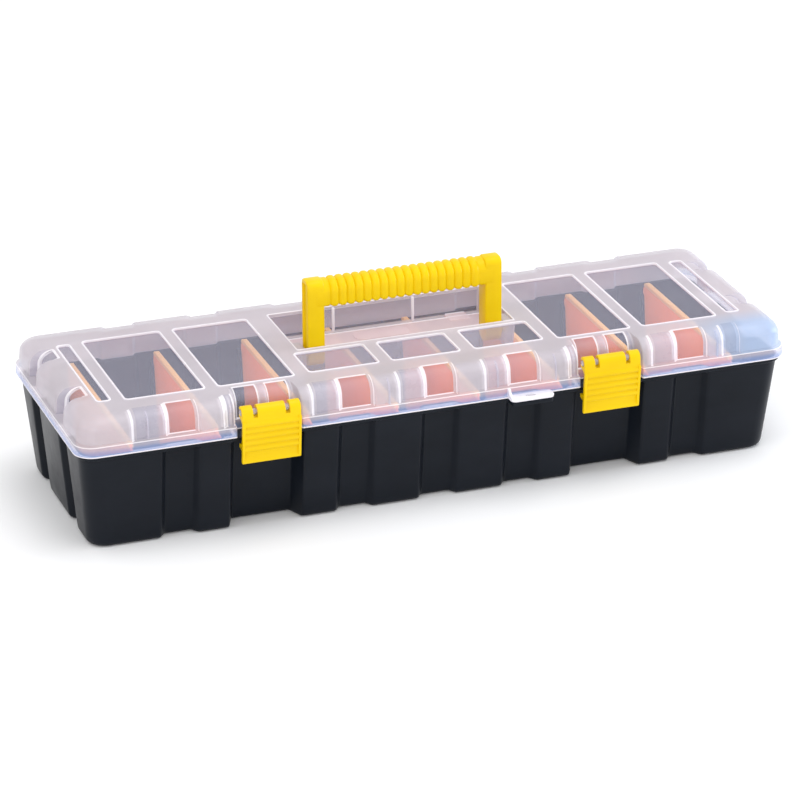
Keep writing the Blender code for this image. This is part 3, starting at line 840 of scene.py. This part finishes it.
# The front's thin ribs as (x, depth of the face they stand on), and the (y, z) outlines of a latch
# arm and of the padlock tab's end walls.
FRONT_RIBS = ((-173.4, 1.7), (-31.6, 0.0), (34.6, 1.7), (69.6, 0.0), (170.4, 0.0))
LATCH_ARM = [(-58.6, 66.6), (-58.6, 72.0), (-66.0, 74.2), (-71.0, 76.0), (-73.4, 74.8),
             (-73.2, 73.0), (-71.0, 71.8), (-66.0, 69.6)]
TAB_WALL = [(-71.4, 60.4), (-71.4, 65.8), (-73.6, 65.8), (-74.4, 64.2), (-76.4, 62.8),
            (-79.2, 62.4), (-79.2, 60.4)]


def make_lid_ribs():
    """Thin upright ribs on the front, the latches' rods and arms, and the hinge hooks."""
    work = bmesh.new()
    for x, depth in FRONT_RIBS:
        line = front_profile(depth, 66.0, 80.2, 0.7)
        back = front_profile(depth, 66.0, 80.2, -0.8)
        slab(work, x - 0.5, x + 0.5, line + back[::-1], 0.2, ZONE["haze"])
    for x in LATCH_PLACES.values():
        rod(work, x - 17.6, x + 17.6, LATCH_AXIS, 1.7, 20, ZONE["haze"])
        for way in (-1, 1):
            centre = x + way * LATCH_ARM_AT
            slab(work, centre - 0.95, centre + 0.95, LATCH_ARM, 0.25, ZONE["clear"])
    hook = arc(HINGE_AXIS, 4.05, -60.0, 285.0, 16) + arc(HINGE_AXIS, 2.5, -60.0, 285.0, 16)[::-1]
    for side in (-1, 1):
        for x in (119.0, 134.0):
            slab(work, side * x - 4.5, side * x + 4.5, hook, 0.2)
            rounded_box(work, (side * x - 4.4, 70.8, 61.4), (side * x + 4.4, 73.6, 65.2), 0.4)
    bits = as_object("lid_ribs", work, LID_MATERIALS, 40.0)
    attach(bits, "lid")


def make_padlock_tab():
    """The flat tab on the lid's front edge, with its end walls, front rim and oval hole."""
    tab = bmesh.new()
    rounded_box(tab, (39.2, -79.6, 59.45), (65.8, -70.0, 61.4), 3.0, 0, 6)
    for x in (40.0, 65.0):
        slab(tab, x - 0.75, x + 0.75, TAB_WALL, 0.25)
    rounded_box(tab, (40.2, -79.4, 61.1), (64.8, -78.5, 62.2), 0.35)
    lock = as_object("lid_padlock_tab", tab, (EDGE_AND_HIGHLIGHT,), 40.0)
    hole = bmesh.new()
    turns = [2 * math.pi * i / 28 for i in range(28)]
    add_loft(hole, [[(52.0 + 3.0 * math.cos(t), -76.2 + 2.0 * math.sin(t), z) for t in turns]
                    for z in (57.0, 64.0)])
    cut(lock, [as_object("tab hole", hole, ())], 40.0)
    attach(lock, "lid")


# ------------------------------------------------------------ handle

GRIP_RIDGES = 18
RIDGE_STEPS = 10
GRIP_HALF = 45.5
# The grip's rear and front along Y, and its underside and top along Z.
GRIP_REAR, GRIP_FRONT, GRIP_LOW, GRIP_TOP = 2.0, -10.0, 105.0, 119.9
# A leg's (y, z) outline above its hub, from the rear up and over to the front.
LEG_LINE = [(2.0, 90.0), (2.0, 105.0), (2.0, 117.2), (1.7, 118.8), (0.9, 120.0), (-0.4, 120.7),
            (-1.6, 120.9), (-6.0, 120.9), (-7.8, 120.5), (-9.2, 119.4), (-9.9, 117.8),
            (-10.0, 116.0), (-10.0, 105.0), (-10.0, 90.0)]
# Across a leg from its inner to its outer face, as (x, how far the outline is drawn in). The last
# two steps sink the middle of the outer face.
LEG_STEPS = ((49.4, 0.9), (49.65, 0.35), (50.3, 0.0), (58.6, 0.0), (59.3, 0.35), (59.6, 1.1),
             (59.55, 2.2), (58.4, 2.5))


def grip_line(x, grow):
    """The grip's outline at x, swollen by grow."""
    front, back = GRIP_FRONT - grow, GRIP_REAR + grow
    low, top = GRIP_LOW - grow, GRIP_TOP + grow
    # Each corner's centre, radius, first angle and number of steps, from the lower rear one round.
    corners = ((back - 1.6, low + 1.6, 1.6, -90, 4), (back - 3.4, top - 3.4, 3.4, 0, 6),
               (front + 7.0, top - 7.0, 7.0, 90, 9), (front + 1.6, low + 1.6, 1.6, 180, 4))
    points = []
    for y, z, radius, start, steps in corners:
        points += [(x, *point) for point in arc((y, z), radius, start, 90.0, steps)]
    return points


def make_handle():
    """The ridged grip, and the two legs with their hubs and pivot pins."""
    work = bmesh.new()
    loops = [grip_line(-54.0, 0.1), grip_line(-46.6, 0.1)]
    pitch = 2 * GRIP_HALF / GRIP_RIDGES
    for i in range(GRIP_RIDGES):
        start = -GRIP_HALF + i * pitch
        for k in range(RIDGE_STEPS):
            t = k / RIDGE_STEPS
            swell = math.sin(math.pi * min(max((t - 0.06) / 0.88, 0.0), 1.0)) ** 0.4
            loops.append(grip_line(start + t * pitch, -0.5 + 1.05 * swell))
    loops += [grip_line(45.8, -0.2), grip_line(46.8, 0.1), grip_line(54.0, 0.1)]
    add_loft(work, loops)
    handle = as_object("handle_grip", work, (YELLOW,), 60.0)
    legs = bmesh.new()
    hub = []
    for i in range(21):
        turn = math.radians(180.0 + 180.0 * i / 20)
        hub.append((HANDLE_AXIS[0] + 6.0 * math.cos(turn), HANDLE_AXIS[1] + 5.9 * math.sin(turn)))
    profile = hub + LEG_LINE
    for side in (-1, 1):
        add_loft(legs, [[(side * x, *pulled(profile, i, pull)) for i in range(len(profile))]
                        for x, pull in LEG_STEPS])
        ends = sorted((side * 57.0, side * 65.4))
        rod(legs, ends[0], ends[1], HANDLE_AXIS, 2.7)
    leg = as_object("handle_legs", legs, (YELLOW,), 40.0)
    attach(leg, "handle")
    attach(handle, "handle")
    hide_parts("handle")


# ------------------------------------------------------------ latches

# The latch's outer face has finger ridges, one below the other, and a lip at its foot. A ridge is
# listed as (y, how far below its top), the other outlines as (y, z).
RIDGE_TOP = 69.6
RIDGE_PITCH = 3.75
RIDGES = 5
RIDGE_LINE = ((-75.9, 0.0), (-76.0, 0.5), (-76.6, 1.3), (-76.7, 2.2), (-76.6, 3.1))
LATCH_FOOT = [(-75.9, 48.6), (-76.1, 47.0), (-76.7, 45.2), (-76.9, 44.4), (-76.5, 43.9)]
LATCH_INSIDE = [(-75.3, 43.9), (-74.4, 46.6), (-74.2, 51.6), (-70.2, 52.4), (-70.2, 54.7),
                (-74.2, 54.7), (-74.2, 68.6), (-72.6, 70.0), (-70.6, 70.6), (-69.0, 71.5),
                (-68.6, 72.6)]
LATCH_BORDER = [(-74.6, 69.8), (-74.6, 44.6), (-76.7, 44.4), (-76.9, 46.0), (-76.75, 50.0),
                (-76.75, 69.0), (-76.3, 70.0)]
BORDER_AT = 16.5


def leaning(profile):
    """The same (y, z) outline with its lower part leaning in along the tub's sloping wall."""
    return [(y + LATCH_LEAN * max(LEAN_FROM - z, 0.0) / LEAN_HEIGHT, z) for y, z in profile]


def make_latch(name, x):
    """One latch: its plate with slots for the lid's arms, and a raised border on each side."""
    outer = arc((LATCH_AXIS[0] + 0.1, LATCH_AXIS[1] - 0.4), 4.2, 70.0, 100.0, 6)
    z = RIDGE_TOP
    for _ in range(RIDGES):
        outer += [(y, z - down) for y, down in RIDGE_LINE]
        z -= RIDGE_PITCH
    outer += [(-75.9, z)] + LATCH_FOOT
    inner = LATCH_INSIDE + arc(LATCH_AXIS, 2.1, -40.0, -280.0, 12) + [(-68.9, 76.0), (-69.2, 77.2)]
    work = bmesh.new()
    slab(work, x - LATCH_HALF, x + LATCH_HALF, leaning(outer + inner), 0.35)
    latch = as_object(name + "_plate", work, (LATCH_YELLOW,), 35.0)
    cutters = []
    for way in (-1, 1):
        centre = x + way * LATCH_ARM_AT
        cutters.append(cutter_box((centre - 1.35, -80.0, 72.0), (centre + 1.35, -62.0, 80.0)))
    cut(latch, cutters, 35.0)
    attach(latch, name)
    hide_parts(name)
    work = bmesh.new()
    for way in (-1, 1):
        centre = x + way * BORDER_AT
        slab(work, centre - 0.85, centre + 0.85, leaning(LATCH_BORDER), 0.25)
    border = as_object(name + "_borders", work, (LATCH_YELLOW,), 35.0)
    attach(border, name)


# ------------------------------------------------------------ set

# The floor's half size and its height, a little below the tub, in metres.
FLOOR_HALF = 6
FLOOR_Z = -0.0002
# Each light's name, place, aim and size in metres, power and colour.
WHITE = (1.0, 1.0, 1.0)
LIGHTS = (
    ("key", (0.25, -0.25, 1.5), (0.0, 0.0, 0.05), (1.2, 0.9), 7.0, WHITE),
    ("side", (1.7, -0.1, 0.30), (0.0, 0.0, 0.05), (0.5, 0.5), 12.0, (0.72, 0.84, 1.0)),
    ("left", (-1.1, -0.45, 1.15), (0.0, 0.0, 0.03), (0.7, 0.7), 1.5, WHITE),
    ("front", (-0.7, -1.8, 0.7), (0.0, 0.0, 0.05), (1.0, 0.7), 6.0, WHITE))


def make_stage():
    """The pale floor, the white world and the lights."""
    mesh = bpy.data.meshes.new("floor")
    corners = [(x * FLOOR_HALF, y * FLOOR_HALF, FLOOR_Z) for x, y in ((-1, -1), (1, -1), (1, 1), (-1, 1))]
    mesh.from_pydata(corners, [], [(0, 1, 2, 3)])
    floor = bpy.data.objects.new("floor", mesh)
    bpy.context.scene.collection.objects.link(floor)
    made, _, shader = new_material("floor pale")
    shader.inputs["Base Color"].default_value = (0.93, 0.93, 0.94, 1.0)
    shader.inputs["Roughness"].default_value = 0.85
    shader.inputs["Specular IOR Level"].default_value = 0.2
    mesh.materials.append(made)
    world = bpy.data.worlds.new("studio")
    bpy.context.scene.world = world
    world.use_nodes = True
    ground = world.node_tree.nodes["Background"]
    ground.inputs["Color"].default_value = (1.0, 1.0, 1.0, 1.0)
    ground.inputs["Strength"].default_value = 0.95
    for row in LIGHTS:
        light(*row)


def light(name, place, aim, size, power, tint):
    """A rectangular area light at place, turned to its aim."""
    data = bpy.data.lights.new(name, "AREA")
    data.shape = "RECTANGLE"
    data.size, data.size_y = size
    data.energy = power
    data.color = tint
    made = bpy.data.objects.new(name, data)
    bpy.context.scene.collection.objects.link(made)
    made.location = place
    made.rotation_mode = "QUATERNION"
    made.rotation_quaternion = (Vector(aim) - Vector(place)).to_track_quat("-Z", "Y")


# The camera: angles in degrees, then the point it looks at, how far it is moved right and up from
# that line, its distance and its lens, all in millimetres.
CAMERA_AZIMUTH, CAMERA_ELEVATION, CAMERA_ROLL = -19.55, 23.06, -0.37
CAMERA_AIM = (0, 0, 45.0)
CAMERA_RIGHT, CAMERA_UP = -0.36, -8.50
CAMERA_DISTANCE = 2425.7
CAMERA_LENS = 186.57
CAMERA_SENSOR = 36.0


def make_camera():
    """The camera, with its axes worked out from its angles."""
    azimuth, elevation, roll = (math.radians(a) for a in (CAMERA_AZIMUTH, CAMERA_ELEVATION, CAMERA_ROLL))
    back = Vector((math.sin(azimuth) * math.cos(elevation), -math.cos(azimuth) * math.cos(elevation),
                   math.sin(elevation)))
    forward = -back
    level = forward.cross(Vector((0, 0, 1))).normalized()
    above = level.cross(forward)
    right = math.cos(roll) * level + math.sin(roll) * above
    up = -math.sin(roll) * level + math.cos(roll) * above
    place = Vector(CAMERA_AIM) + CAMERA_RIGHT * right + CAMERA_UP * up - CAMERA_DISTANCE * forward
    data = bpy.data.cameras.new("camera")
    data.sensor_width = CAMERA_SENSOR
    data.lens = CAMERA_LENS
    data.clip_start, data.clip_end = 0.05, 50.0
    made = bpy.data.objects.new("camera", data)
    bpy.context.scene.collection.objects.link(made)
    made.matrix_world = Matrix(((right.x, up.x, back.x, place.x * MM),
                                (right.y, up.y, back.y, place.y * MM),
                                (right.z, up.z, back.z, place.z * MM), (0, 0, 0, 1)))
    bpy.context.scene.camera = made


bpy.context.scene.view_settings.view_transform = "Standard"
# A ray through the closed lid crosses many faces before it reaches the tub.
bpy.context.scene.cycles.transparent_max_bounces = 32
make_tub()
for number, place_x in enumerate(DIVIDER_X, start=1):
    make_divider(number, place_x)
make_lid()
make_panes()
make_well()
make_lid_ribs()
make_padlock_tab()
make_handle()
for latch_name, latch_x in LATCH_PLACES.items():
    make_latch(latch_name, latch_x)
make_stage()
make_camera()
# The lid lets light through, so its pieces cast no shadow.
for shown in bpy.data.objects:
    if shown.name.startswith("lid_"):
        shown.visible_shadow = False
bpy.context.view_layer.update()
